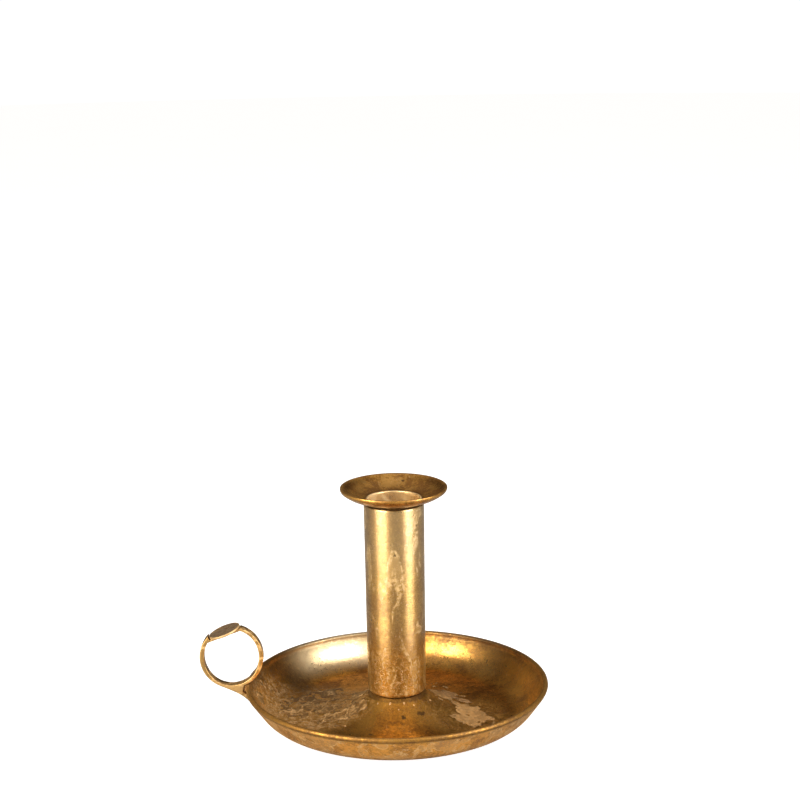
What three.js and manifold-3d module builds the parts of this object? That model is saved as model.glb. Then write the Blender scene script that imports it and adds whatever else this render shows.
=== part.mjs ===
// A brass chamberstick: a round pan with a raised cone at its middle, a tube stem screwed to the
// cone from beneath, a lift-out nozzle (candle cup and drip dish) and a ring handle with a thumb disc.
// Millimetres, +Z up. Sizes are first given about the pan's own axis; the finished group is then
// moved along X so that the origin is the middle of the whole object's footprint.

import * as THREE from 'three';
import { mergeVertices } from 'three/addons/utils/BufferGeometryUtils.js';
import Module from 'manifold-3d';

// ---------------------------------------------------------------- driving dimensions

const RIM_RADIUS = 70;            // outermost edge of the pan
const RIM_EDGE = 1.15;            // radius of the pan's rounded edge
const RIM_HEIGHT = 15.3;          // height of the centre of that rounded edge
const PAN_THICKNESS = 1.7;
const WALL_SLOPE = 54.5;          // degrees from level
const FOOT_OUTER = 50.8;          // the flat ring that the pan stands on
const FOOT_INNER = 38;
const WALL_BEND = 16.7;           // outside radius between foot and wall
const CONE_TOP = 12.4;            // height of the small flat on top of the cone
const CONE_BEND = 39.6;           // radius of the cone's hollow flank, on its underside

const STEM_TOP = 102.1;
const STEM_TOP_RADIUS = 13.75;
const STEM_FOOT_RADIUS = 13.45;
const STEM_WALL = 0.8;
const STEM_FOOT_BEND = 1.5;       // the tube's lower edge is turned in by this radius
const SEAT_GAP = 0.1;             // between faces that rest on each other
const BRAZE_GAP = 0.05;           // between the dish and the cup it is brazed to

const CUP_BORE = 12;              // takes an ordinary household candle of 22 to 23 mm
const CUP_WALL = 0.75;
const CUP_DEPTH = 24;
const MOUTH_HEIGHT = 104.3;

const DISH_RADIUS = 24.4;
const DISH_EDGE_HEIGHT = 109.2;   // where the dish is widest
const DISH_LIP = 0.35;            // small round on its top edge
const COLLAR_HEIGHT = 1;          // the dish's short collar, set back a little from the tube
const COLLAR_SETBACK = 0.35;

const SCREW_SHANK = 2.45;
const SCREW_HEAD = 4.75;
const SCREW_HEAD_HEIGHT = 2.4;
const SCREW_CLEARANCE = 0.35;     // round the shank, in the pan's hole
const THREAD_CLEARANCE = 0.1;     // round the shank, in the plug
const WASHER_CLEARANCE = 0.3;
const WASHER_RADIUS = 7;
const WASHER_THICKNESS = 1;
const PLUG_THICKNESS = 5.6;
const FORGED_EDGE = 0.8;          // chamfer on the plug's lower edge and the screw's head
const SHANK_TIP = 0.5;            // chamfer on the shank's end

const RING_CENTRE = new THREE.Vector2(-76.17, 29.85);
const RING_OUTSIDE = new THREE.Vector2(14.67, 14.9);    // half width and half height
const RING_INSIDE = new THREE.Vector2(12.72, 13.7);
const STRAP_WIDTH = 4.8;
const STRAP_CHAMFER = 0.4;
const TAIL_THICKNESS = 2.1;
const TAIL_GAP = 0.35;            // between the tail and the pan's wall
const TAIL_END_ANGLE = 228;       // where the tail stops on the pan's lower bend
const TAIL_LEAVES = 2.6;          // how far up the wall the tail's inside stays against it
const CROTCH = new THREE.Vector2(-71.5, 13);            // where tail and ring part in a Y
const SEAT_OUTSIDE = { start: -224, end: 71.5 };        // degrees round the ring's outside
const SEAT_INSIDE = { start: -212, end: 70 };           // and round its inside

const THUMB_TILT = 20;            // degrees that the thumb disc leans away from the stem
const THUMB_RADIUS = 7.5;
const THUMB_THICKNESS = 1.1;
const THUMB_LEVEL = 13;           // its top face, from the ring's centre
const THUMB_SHIFT = 1.4;          // its centre, along the seat, from the ring's centre
const THUMB_GAP = 0.3;
const THUMB_EDGE = 0.35;          // chamfer round both of its faces

const ROUND = { large: 48, middle: 40, small: 24 };     // facets round each turned piece

// The object reaches from the ring's outside to the far edge of the pan.
const FRAME_SHIFT = (RING_OUTSIDE.x - RING_CENTRE.x - RIM_RADIUS) / 2;

// ---------------------------------------------------------------- helpers

const radians = THREE.MathUtils.degToRad;
const point = (x, y) => new THREE.Vector2(x, y);

function onCircle(centreX, centreY, radius, degrees) {
  const angle = radians(degrees);
  return point(centreX + radius * Math.cos(angle), centreY + radius * Math.sin(angle));
}

// Points on a circle of a section, from one angle to another, both ends included.
function arc(centreX, centreY, radius, startDegrees, endDegrees, steps) {
  const points = [];
  for (let i = 0; i <= steps; i += 1) {
    const degrees = startDegrees + ((endDegrees - startDegrees) * i) / steps;
    points.push(onCircle(centreX, centreY, radius, degrees));
  }
  return points;
}

function brass(colour, roughness) {
  return new THREE.MeshStandardMaterial({ color: colour, roughness, metalness: 1 });
}

function named(name, geometry, material) {
  const mesh = new THREE.Mesh(geometry, material);
  mesh.name = name;
  return mesh;
}

// A piece turned about the vertical axis. The section runs outward along its underside,
// up its outside and back; a ring's section closes on itself, a disc's ends on the axis.
function turned(section, facets) {
  const profile = section[0].x > 0 ? [...section, section[0]] : section;
  const geometry = new THREE.LatheGeometry(profile, facets);
  geometry.rotateX(Math.PI / 2);
  return geometry;
}

const wasm = await Module();
wasm.setup();

function toSolid(geometry) {
  const bare = geometry.clone();
  bare.deleteAttribute('normal');
  bare.deleteAttribute('uv');
  const welded = mergeVertices(bare, 1e-4);
  return new wasm.Manifold(new wasm.Mesh({
    numProp: 3,
    vertProperties: new Float32Array(welded.attributes.position.array),
    triVerts: new Uint32Array(welded.index.array),
  }));
}

function fromSolid(solid) {
  const mesh = solid.getMesh();
  const geometry = new THREE.BufferGeometry();
  geometry.setAttribute('position', new THREE.BufferAttribute(mesh.vertProperties, 3));
  geometry.setIndex(new THREE.BufferAttribute(mesh.triVerts, 1));
  geometry.computeVertexNormals();
  return geometry;
}

// ---------------------------------------------------------------- the pan

// Its foot, bend and wall are one smooth line; the cone at the middle is hollow beneath.
function pan() {
  const rim = point(RIM_RADIUS - RIM_EDGE, RIM_HEIGHT);
  const wallNormal = WALL_SLOPE - 90;
  const beadAngle = (180 / Math.PI) * Math.acos((PAN_THICKNESS - RIM_EDGE) / RIM_EDGE);
  const holeRadius = SCREW_SHANK + SCREW_CLEARANCE;
  const flankAngle = (height, radius) => {
    return -180 + (180 / Math.PI) * Math.asin((CONE_BEND - height) / radius);
  };
  const upperBend = CONE_BEND - PAN_THICKNESS;
  const underTop = CONE_TOP - PAN_THICKNESS;
  return turned([
    point(holeRadius, underTop),
    ...arc(FOOT_INNER, CONE_BEND, CONE_BEND, flankAngle(underTop, CONE_BEND), -90, 6),
    ...arc(FOOT_OUTER, WALL_BEND, WALL_BEND, -90, wallNormal, 5),
    ...arc(rim.x, rim.y, RIM_EDGE, wallNormal, 0, 1),
    ...arc(rim.x, rim.y, RIM_EDGE, 60, 180 + wallNormal + beadAngle, 3),
    ...arc(FOOT_OUTER, WALL_BEND, WALL_BEND - PAN_THICKNESS, wallNormal, -90, 5),
    ...arc(FOOT_INNER, CONE_BEND, upperBend, -90, flankAngle(CONE_TOP, upperBend), 6),
    point(holeRadius, CONE_TOP),
  ], ROUND.large);
}

// ---------------------------------------------------------------- the stem and what holds it

const STEM_FOOT = CONE_TOP + SEAT_GAP;

function stemTube() {
  const bendX = STEM_FOOT_RADIUS - STEM_FOOT_BEND;
  const bendZ = STEM_FOOT + STEM_FOOT_BEND;
  return turned([
    ...arc(bendX, bendZ, STEM_FOOT_BEND, -90, 0, 3),
    point(STEM_TOP_RADIUS, STEM_TOP),
    point(STEM_TOP_RADIUS - STEM_WALL, STEM_TOP),
    ...arc(bendX, bendZ, STEM_FOOT_BEND - STEM_WALL, 0, -90, 3),
  ], ROUND.middle);
}

// The threaded disc brazed inside the tube's foot.
function stemPlug() {
  const bottom = STEM_FOOT + STEM_WALL + SEAT_GAP;
  const radius = STEM_FOOT_RADIUS - STEM_WALL - SEAT_GAP;
  const hole = SCREW_SHANK + THREAD_CLEARANCE;
  return turned([
    point(hole, bottom),
    point(radius - FORGED_EDGE, bottom),
    point(radius, bottom + FORGED_EDGE),
    point(radius, bottom + PLUG_THICKNESS),
    point(hole, bottom + PLUG_THICKNESS),
  ], ROUND.small);
}

const WASHER_TOP = CONE_TOP - PAN_THICKNESS - SEAT_GAP;
const HEAD_TOP = WASHER_TOP - WASHER_THICKNESS - SEAT_GAP;

function washer() {
  const hole = SCREW_SHANK + WASHER_CLEARANCE;
  return turned([
    point(hole, WASHER_TOP - WASHER_THICKNESS),
    point(WASHER_RADIUS, WASHER_TOP - WASHER_THICKNESS),
    point(WASHER_RADIUS, WASHER_TOP),
    point(hole, WASHER_TOP),
  ], ROUND.small);
}

// The slotted screw that passes up through the washer and the cone into the plug.
function tieScrew() {
  const slotWidth = 1.3;
  const slotDepth = 1.2;
  const headBottom = HEAD_TOP - SCREW_HEAD_HEIGHT;
  const shankTop = STEM_FOOT + PLUG_THICKNESS;
  const blank = turned([
    point(0, headBottom),
    point(SCREW_HEAD - FORGED_EDGE, headBottom),
    point(SCREW_HEAD, headBottom + FORGED_EDGE),
    point(SCREW_HEAD, HEAD_TOP),
    point(SCREW_SHANK, HEAD_TOP),
    point(SCREW_SHANK, shankTop - SHANK_TIP),
    point(SCREW_SHANK - SHANK_TIP, shankTop),
    point(0, shankTop),
  ], ROUND.small);
  const slot = new THREE.BoxGeometry(3 * SCREW_HEAD, slotWidth, 2 * slotDepth);
  slot.translate(0, 0, headBottom);
  return fromSolid(toSolid(blank).subtract(toSolid(slot)));
}

// ---------------------------------------------------------------- the lift-out nozzle

// A drawn cup that hangs in the stem's top; its mouth is rounded over.
function candleSocket() {
  const outside = CUP_BORE + CUP_WALL;
  const floorTop = MOUTH_HEIGHT - CUP_DEPTH;
  const cornerBend = 1.5;
  const mouthBend = 0.6;
  return turned([
    point(0, floorTop - CUP_WALL),
    ...arc(outside - cornerBend, floorTop - CUP_WALL + cornerBend, cornerBend, -90, 0, 3),
    point(outside, MOUTH_HEIGHT),
    ...arc(CUP_BORE + mouthBend, MOUTH_HEIGHT - mouthBend, mouthBend, 90, 180, 2),
    point(CUP_BORE, floorTop),
    point(0, floorTop),
  ], ROUND.middle);
}

// A thick turned dish whose short collar rests on the tube's top edge.
function dripDish() {
  const bore = CUP_BORE + CUP_WALL + BRAZE_GAP;
  const collar = STEM_TOP_RADIUS - COLLAR_SETBACK;
  const collarBottom = STEM_TOP + SEAT_GAP;
  const edge = { radius: 2.1, slope: 38 };
  const edgeX = DISH_RADIUS - edge.radius;
  const lipX = DISH_RADIUS - DISH_LIP;
  const under = { radius: 19.4, slope: 7 };
  const underX = edgeX - (under.radius - edge.radius) * Math.sin(radians(edge.slope));
  const underZ = DISH_EDGE_HEIGHT + (under.radius - edge.radius) * Math.cos(radians(edge.slope));
  const upper = { radius: 25.6, slope: 13, endSlope: 39 };
  const mouthChamfer = { width: 0.15, height: 0.2 };
  const bulge = { below: 0.9, inward: 0.2 };       // the edge's fullest place under the lip
  const mouth = point(bore + mouthChamfer.width, MOUTH_HEIGHT);
  const upperX = mouth.x - upper.radius * Math.sin(radians(upper.slope));
  const upperZ = mouth.y + upper.radius * Math.cos(radians(upper.slope));
  return turned([
    point(bore, collarBottom),
    point(collar, collarBottom),
    point(collar, collarBottom + COLLAR_HEIGHT),
    ...arc(underX, underZ, under.radius, under.slope - 90, edge.slope - 90, 5),
    point(DISH_RADIUS - bulge.inward, DISH_EDGE_HEIGHT - bulge.below),
    ...arc(lipX, DISH_EDGE_HEIGHT, DISH_LIP, 0, 90, 2),
    ...arc(upperX, upperZ, upper.radius, upper.endSlope - 90, upper.slope - 90, 5),
    point(bore, MOUTH_HEIGHT - mouthChamfer.height),
  ], ROUND.middle);
}

// ---------------------------------------------------------------- the handle

// A place on the handle's seat: along it, and out from the ring's centre.
function onSeat(along, out) {
  const tilt = radians(THUMB_TILT);
  return point(
    RING_CENTRE.x + along * Math.cos(tilt) - out * Math.sin(tilt),
    RING_CENTRE.y + along * Math.sin(tilt) + out * Math.cos(tilt),
  );
}

// Points round the ring's outside or inside, both ends included.
function ringArc(size, startDegrees, endDegrees, steps) {
  return arc(0, 0, 1, startDegrees, endDegrees, steps).map((unit) => {
    return unit.multiply(size).add(RING_CENTRE);
  });
}

// One strip of brass: a tail up the outside of the pan, bent round into a ring that closes on
// itself in a Y. Under the thumb disc the ring is flattened and let in by the disc's thickness.
function strapOutline() {
  const bend = point(-FOOT_OUTER, WALL_BEND);
  const innerBend = WALL_BEND + TAIL_GAP;
  const outerBend = innerBend + TAIL_THICKNESS;
  const wallAngle = 270 - WALL_SLOPE;
  const up = onCircle(0, 0, 1, 180 - WALL_SLOPE);
  const seatLevel = THUMB_LEVEL - THUMB_THICKNESS - THUMB_GAP;
  const seatStart = THUMB_SHIFT - THUMB_RADIUS - THUMB_GAP;
  const ringStart = -115;          // where the tail's outside has become the ring's
  const ringEnd = -68;
  const reach = 8;                 // how stiffly the tail leads into the ring

  const tailLeaves = onCircle(bend.x, bend.y, outerBend, wallAngle);
  const ringMeets = ringArc(RING_OUTSIDE, ringStart, ringStart, 1)[0];
  const sweep = new THREE.CubicBezierCurve(
    tailLeaves,
    tailLeaves.clone().addScaledVector(up, reach),
    ringMeets.clone().add(onCircle(0, 0, reach, ringStart + 90)),
    ringMeets,
  );
  const shape = new THREE.Shape([
    ...arc(bend.x, bend.y, outerBend, TAIL_END_ANGLE, wallAngle, 3),
    ...sweep.getPoints(7).slice(1),
    ...ringArc(RING_OUTSIDE, ringStart, SEAT_OUTSIDE.start, 13).slice(1),
    onSeat(seatStart, seatLevel),
    ...ringArc(RING_OUTSIDE, SEAT_OUTSIDE.end, ringEnd, 15),
    CROTCH,
    onCircle(bend.x, bend.y, innerBend, wallAngle).addScaledVector(up, TAIL_LEAVES),
    ...arc(bend.x, bend.y, innerBend, wallAngle, TAIL_END_ANGLE, 3),
  ]);

  // The hole is closed by a straight chord, which is the strap's flat underside at the seat.
  shape.holes.push(new THREE.Path(ringArc(RING_INSIDE, SEAT_INSIDE.start, SEAT_INSIDE.end, 28)));
  return shape;
}

function handleStrap() {
  const geometry = new THREE.ExtrudeGeometry(strapOutline(), {
    depth: STRAP_WIDTH - 2 * STRAP_CHAMFER,
    bevelThickness: STRAP_CHAMFER,
    bevelSize: STRAP_CHAMFER,
    bevelOffset: -STRAP_CHAMFER,
    bevelSegments: 1,
  });
  geometry.translate(0, 0, STRAP_CHAMFER - STRAP_WIDTH / 2);
  geometry.rotateX(Math.PI / 2);
  return geometry;
}

// The disc's own middle is the centre of its top face.
function thumbRest() {
  return turned([
    point(0, -THUMB_THICKNESS),
    point(THUMB_RADIUS - THUMB_EDGE, -THUMB_THICKNESS),
    point(THUMB_RADIUS, -THUMB_THICKNESS + THUMB_EDGE),
    point(THUMB_RADIUS, -THUMB_EDGE),
    point(THUMB_RADIUS - THUMB_EDGE, 0),
    point(0, 0),
  ], ROUND.small);
}

// ---------------------------------------------------------------- assembly

const aboutPanAxis = new THREE.Group();
aboutPanAxis.position.x = FRAME_SHIFT;
aboutPanAxis.add(
  named('pan', pan(), brass(0x9a6f3c, 0.42)),
  named('stem_tube', stemTube(), brass(0xb5833f, 0.34)),
  named('stem_plug', stemPlug(), brass(0x8a6a3a, 0.6)),
  named('washer', washer(), brass(0x8f7748, 0.55)),
  named('tie_screw', tieScrew(), brass(0x7d6a44, 0.55)),
  named('handle_strap', handleStrap(), brass(0xb88a48, 0.36)),
);

const nozzle = new THREE.Group();
nozzle.add(
  named('candle_socket', candleSocket(), brass(0xb9935a, 0.4)),
  named('drip_dish', dripDish(), brass(0x94683a, 0.4)),
);
aboutPanAxis.add(nozzle);

const thumb = new THREE.Group();
const thumbCentre = onSeat(THUMB_SHIFT, THUMB_LEVEL);
thumb.position.set(thumbCentre.x, 0, thumbCentre.y);
thumb.rotation.y = radians(-THUMB_TILT);
thumb.add(named('thumb_rest', thumbRest(), brass(0x96806a, 0.5)));
aboutPanAxis.add(thumb);

const chamberstick = new THREE.Group();
chamberstick.add(aboutPanAxis);

export default chamberstick;
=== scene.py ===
"""Looks of the brass chamberstick: fine meshes over the CAD frame, aged brass, wax residue,
a pale floor and soft studio light.

Lengths in this file are millimetres about the pan's own axis until a mesh is made; the row frame
is in metres.
"""

from dataclasses import dataclass
from math import acos, asin, cos, degrees, hypot, pi, radians, sin, tan

import bmesh
import bpy
import numpy as np
from mathutils import Euler, Matrix, Vector


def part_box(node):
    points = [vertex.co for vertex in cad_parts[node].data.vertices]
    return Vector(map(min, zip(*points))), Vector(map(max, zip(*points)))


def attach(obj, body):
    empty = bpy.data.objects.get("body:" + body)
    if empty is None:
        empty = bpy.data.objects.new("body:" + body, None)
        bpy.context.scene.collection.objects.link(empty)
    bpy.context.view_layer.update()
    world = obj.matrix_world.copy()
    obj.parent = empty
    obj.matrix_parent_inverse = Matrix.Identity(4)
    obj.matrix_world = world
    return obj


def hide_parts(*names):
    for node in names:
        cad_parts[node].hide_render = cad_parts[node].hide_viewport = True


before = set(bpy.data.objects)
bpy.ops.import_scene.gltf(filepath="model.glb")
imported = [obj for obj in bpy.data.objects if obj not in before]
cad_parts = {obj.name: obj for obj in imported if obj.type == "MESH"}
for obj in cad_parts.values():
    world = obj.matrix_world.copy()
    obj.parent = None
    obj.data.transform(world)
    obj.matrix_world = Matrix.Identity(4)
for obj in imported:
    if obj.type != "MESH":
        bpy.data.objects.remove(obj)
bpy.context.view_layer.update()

MM = 0.001
TUBE_LOW, TUBE_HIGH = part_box("stem_tube")
AXIS_X = (TUBE_LOW.x + TUBE_HIGH.x) / 2 / MM

# ---- the object's own dimensions

RIM_RADIUS = 70.0
RIM_EDGE = 1.15
RIM_X = RIM_RADIUS - RIM_EDGE
RIM_HEIGHT = 15.3
PAN_THICKNESS = 1.7
WALL_SLOPE = 54.5
WALL_NORMAL = WALL_SLOPE - 90
FOOT_OUTER = 50.8
FOOT_INNER = 38.0
WALL_BEND = 16.7
CONE_TOP = 12.4
CONE_BEND = 39.6
UPPER_BEND = CONE_BEND - PAN_THICKNESS
STEM_FOOT = 12.5
STEM_TOP = 102.1
STEM_TOP_RADIUS = 13.75
STEM_FOOT_RADIUS = 13.45
STEM_WALL = 0.8
STEM_FOOT_BEND = 1.5
PLUG_THICKNESS = 5.6
CUP_BORE = 12.0
CUP_WALL = 0.75
CUP_FLOOR = 80.3
MOUTH_HEIGHT = 104.3
DISH_RADIUS = 24.4
DISH_EDGE_HEIGHT = 109.2
COLLAR_SETBACK = 0.35
SCREW_SHANK = 2.45
SCREW_HEAD = 4.75
HEAD_TOP = 9.5
HEAD_BOTTOM = 7.1
SHANK_TOP = 18.1
WASHER_RADIUS = 7.0
WASHER_TOP = 10.6
WASHER_THICKNESS = 1.0
RING_CENTRE = (-76.17, 29.85)
RING_OUTSIDE = (14.65, 14.9)
RING_INSIDE = (12.72, 13.7)
STRAP_WIDTH = 4.8
TAIL_THICKNESS = 2.1
THUMB_TILT = 20.0
THUMB_RADIUS = 7.5
THUMB_THICKNESS = 1.1
THUMB_LEVEL = 13.0
THUMB_SHIFT = 1.4

SEAT_GAP = 0.1  # between faces that rest on each other
BRAZE_GAP = 0.05  # between the dish and the cup it is brazed to
TAIL_GAP = 0.35  # between the handle's tail and the pan's wall
THUMB_GAP = 0.3  # round the thumb disc, in its seat
SCREW_CLEARANCE = 0.35  # round the shank, in the pan's hole
THREAD_CLEARANCE = 0.1  # round the shank, in the plug
WASHER_CLEARANCE = 0.3  # round the shank, in the washer
AXIS_GAP = 0.02  # between a turned disc's middle and the axis

# ---- small sums


def on_circle(x, z, radius, degrees):
    angle = radians(degrees)
    return (x + radius * cos(angle), z + radius * sin(angle))


def arc(x, z, radius, start, end, steps):
    """Points on a circle of a section, from one angle to another, both ends included."""
    return [on_circle(x, z, radius, start + (end - start) * i / steps) for i in range(steps + 1)]


def line(start, end, steps):
    """Points along a straight stretch, without its two ends."""
    return [
        (start[0] + (end[0] - start[0]) * i / steps, start[1] + (end[1] - start[1]) * i / steps)
        for i in range(1, steps)
    ]


def bezier(a, b, c, d, steps):
    """Points along a curve from a to d that sets out towards b and arrives from c."""
    points = []
    for i in range(steps + 1):
        t = i / steps
        w = ((1 - t) ** 3, 3 * t * (1 - t) ** 2, 3 * t * t * (1 - t), t**3)
        points.append(tuple(w[0] * a[k] + w[1] * b[k] + w[2] * c[k] + w[3] * d[k] for k in (0, 1)))
    return points


def ease(value, low, high):
    """0 at low, 1 at high, and a smooth change between; high may be the smaller of the two."""
    t = np.clip((np.asarray(value, float) - low) / (high - low), 0, 1)
    return t * t * (3 - 2 * t)


def lattice(x, y, z, seed):
    """A fixed scattered number from -1 to 1 for each whole-numbered place."""
    h = (x * 73856093) ^ (y * 19349663) ^ (z * 83492791) ^ (seed * 2654435761)
    h = (h ^ (h >> 15)) * 2246822519 & 0xFFFFFFFF
    h = (h ^ (h >> 13)) * 3266489917 & 0xFFFFFFFF
    h = h ^ (h >> 16)
    return (h & 0xFFFFFF) / 0x7FFFFF - 1


def wander(points, size, seed, layers=1):
    """Smooth noise of about -1 to 1 at each point; size is the distance between its hills."""
    total = np.zeros(len(points))
    for layer in range(layers):
        scaled = np.asarray(points, float) / size * 2**layer
        cell = np.floor(scaled).astype(np.int64)
        t = scaled - cell
        t = t * t * (3 - 2 * t)
        for corner in range(8):
            step = np.array([corner & 1, corner >> 1 & 1, corner >> 2 & 1])
            share = np.prod(np.where(step == 1, t, 1 - t), axis=1)
            place = cell + step
            total += share * lattice(place[:, 0], place[:, 1], place[:, 2], seed + layer) / 2**layer
    return total


# ---- meshes


def linked(name, data):
    """A new object, put in the scene."""
    obj = bpy.data.objects.new(name, data)
    bpy.context.scene.collection.objects.link(obj)
    return obj


def mesh_object(name, points, faces, body, replaced=()):
    """A smooth-shaded mesh from points in mm about the pan's axis, riding on a CAD body."""
    points = (np.asarray(points, float) + [AXIS_X, 0, 0]) * MM
    mesh = bpy.data.meshes.new(name)
    mesh.from_pydata(points.tolist(), [], faces)
    mesh.validate()
    mesh.update()
    mesh.shade_smooth()
    obj = linked(name, mesh)
    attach(obj, body)
    if replaced:
        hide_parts(*replaced)
    return obj


def paint_values(obj, name, values):
    """A number kept at each vertex for the material, which reads 0 where there is none."""
    attribute = obj.data.attributes.new(name, "FLOAT", "POINT")
    attribute.data.foreach_set("value", np.asarray(values, np.float32))


def places(obj):
    """East, north and up of all vertices, in mm about the pan's axis."""
    flat = np.empty(len(obj.data.vertices) * 3)
    obj.data.vertices.foreach_get("co", flat)
    return (flat.reshape(-1, 3) / MM - [AXIS_X, 0, 0]).T


def around(section, segments):
    """The points and faces of a closed section turned about the vertical axis."""
    section = np.asarray(section, float)
    angles = np.arange(segments) * 2 * pi / segments
    count = len(section)
    points = np.empty((segments, count, 3))
    points[:, :, 0] = np.cos(angles)[:, None] * section[None, :, 0]
    points[:, :, 1] = np.sin(angles)[:, None] * section[None, :, 0]
    points[:, :, 2] = section[None, :, 1]
    faces = []
    for i in range(segments):
        j = (i + 1) % segments
        for k in range(count):
            m = (k + 1) % count
            faces.append((i * count + k, j * count + k, j * count + m, i * count + m))
    return points.reshape(-1, 3), faces


def turned(name, section, body, slot, segments=256, dents=0.05, seed=1, **painted):
    """A fine turned piece that stands for the CAD node of the same name less its ending. painted
    gives, by the names of the values kept at the vertices, sums on the section's own x and z."""
    node = name.removesuffix("_fine")
    points, faces = around(section, segments)
    x = np.hypot(points[:, 0], points[:, 1])
    hollow = -np.abs(wander(points, 17.0, seed)) - 0.5 * np.abs(wander(points, 7.0, seed + 3))
    points[:, :2] *= (1 + dents * hollow / np.maximum(x, 1.0))[:, None]
    obj = mesh_object(name, points, faces, body, [node])
    for kind, amount in painted.items():
        paint_values(obj, kind, amount(x, points[:, 2]))
    return obj


def weld(obj):
    """Joins the points that lie in one place."""
    shape = bmesh.new()
    shape.from_mesh(obj.data)
    bmesh.ops.remove_doubles(shape, verts=shape.verts, dist=1e-7)
    bmesh.ops.dissolve_degenerate(shape, dist=1e-8, edges=shape.edges)
    shape.to_mesh(obj.data)
    shape.free()


def as_seen(obj):
    """The mesh that an object's modifiers or curve make."""
    bpy.context.view_layer.update()
    seen = obj.evaluated_get(bpy.context.evaluated_depsgraph_get())
    return bpy.data.meshes.new_from_object(seen)


def settle(obj):
    """Replaces a mesh by what its modifiers make of it."""
    mesh = as_seen(obj)
    obj.modifiers.clear()
    obj.data = mesh


def sharpen(obj, degrees):
    """Smooth shading, with creases kept where faces meet at more than this angle."""
    obj.data.shade_smooth()
    obj.data.set_sharp_from_angle(angle=radians(degrees))


# ---- the pan


def pan_upper(x):
    """Height of the pan's upper surface at a distance x from its axis."""
    x = np.asarray(x, float)
    cone = CONE_BEND - np.sqrt(np.maximum(UPPER_BEND**2 - (FOOT_INNER - x) ** 2, 0))
    inner = WALL_BEND - PAN_THICKNESS
    bend_width = inner * cos(radians(WALL_NORMAL))
    reach = np.minimum(x - FOOT_OUTER, bend_width)
    bend = WALL_BEND - np.sqrt(inner**2 - np.maximum(reach, 0) ** 2)
    past = np.maximum(x - FOOT_OUTER - bend_width, 0)
    wall = bend + past * tan(radians(WALL_SLOPE))
    outer = np.where(x > FOOT_OUTER, wall, PAN_THICKNESS)
    return np.where(x < FOOT_INNER, np.minimum(cone, CONE_TOP), outer)


def on_pan(x, y):
    """A place on the pan's upper surface."""
    return (x, y, float(pan_upper(hypot(x, y))))


def pan_section():
    bead = degrees(acos((PAN_THICKNESS - RIM_EDGE) / RIM_EDGE))
    under_top = CONE_TOP - PAN_THICKNESS
    hole = SCREW_SHANK + SCREW_CLEARANCE

    def flank(height, radius):
        return -180 + degrees(asin((CONE_BEND - height) / radius))

    under_cone = arc(FOOT_INNER, CONE_BEND, CONE_BEND, flank(under_top, CONE_BEND), -90, 34)
    under_wall = arc(FOOT_OUTER, WALL_BEND, WALL_BEND, -90, WALL_NORMAL, 18)
    rim = arc(RIM_X, RIM_HEIGHT, RIM_EDGE, WALL_NORMAL, 180 + WALL_NORMAL + bead, 16)
    over_wall = arc(FOOT_OUTER, WALL_BEND, WALL_BEND - PAN_THICKNESS, WALL_NORMAL, -90, 18)
    over_cone = arc(FOOT_INNER, CONE_BEND, UPPER_BEND, -90, flank(CONE_TOP, UPPER_BEND), 34)
    return [
        (hole, under_top),
        *line((hole, under_top), under_cone[0], 8),
        *under_cone,
        *line(under_cone[-1], under_wall[0], 12),
        *under_wall,
        *line(under_wall[-1], rim[0], 6),
        *rim,
        *line(rim[-1], over_wall[0], 5),
        *over_wall,
        *line(over_wall[-1], over_cone[0], 12),
        *over_cone,
        *line(over_cone[-1], (hole, CONE_TOP), 8),
        (hole, CONE_TOP),
    ]


def from_bead(x, z):
    """The distance from the middle of the rim's rounded edge."""
    return np.hypot(x - RIM_X, z - RIM_HEIGHT)


def above(x, z):
    """1 on the pan's upper side and 0 on its under side."""
    return ease(z - pan_upper(np.minimum(x, RIM_X - 0.85)), -0.9, -0.3)


def spot(east, north, centre, half, outer, inner):
    """1 in the middle of a soft oval and 0 beyond it."""
    away = np.hypot((east - centre[0]) / half[0], (north - centre[1]) / half[1])
    return ease(away, outer, inner)


def pan_wear(x, z):
    """Rubbed a little on the rim and well under the foot."""
    return np.maximum(0.08 * ease(from_bead(x, z), 1.6, 0.9), 0.7 * ease(z, 0.5, 0.05))


def pan_grime(x, z):
    """Dirt round the stem's foot and on the rim's top; painted shade in the inside corner below the rim
    and under the rim's outer edge.
    """
    upper = ease(z - pan_upper(x), -0.9, -0.3)
    stem = 0.8 * ease(x, STEM_FOOT_RADIUS + 0.95, STEM_FOOT_RADIUS + 0.25) * upper
    # Painted shade in the inside corner below the rim.
    corner = 0.7 * ease(x, 64.0, 68.0) * ease(x, 69.2, 68.4) * upper
    # Painted shade under the rim's outer edge.
    beneath = ease(np.abs(from_bead(x, z) - RIM_EDGE), 0.5, 0.1) * ease(z, 15.2, 14.7)
    top = 0.7 * ease(from_bead(x, z), 1.6, 0.9)
    return np.maximum.reduce([stem, corner, 0.8 * beneath * (1 - upper), top])


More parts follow.
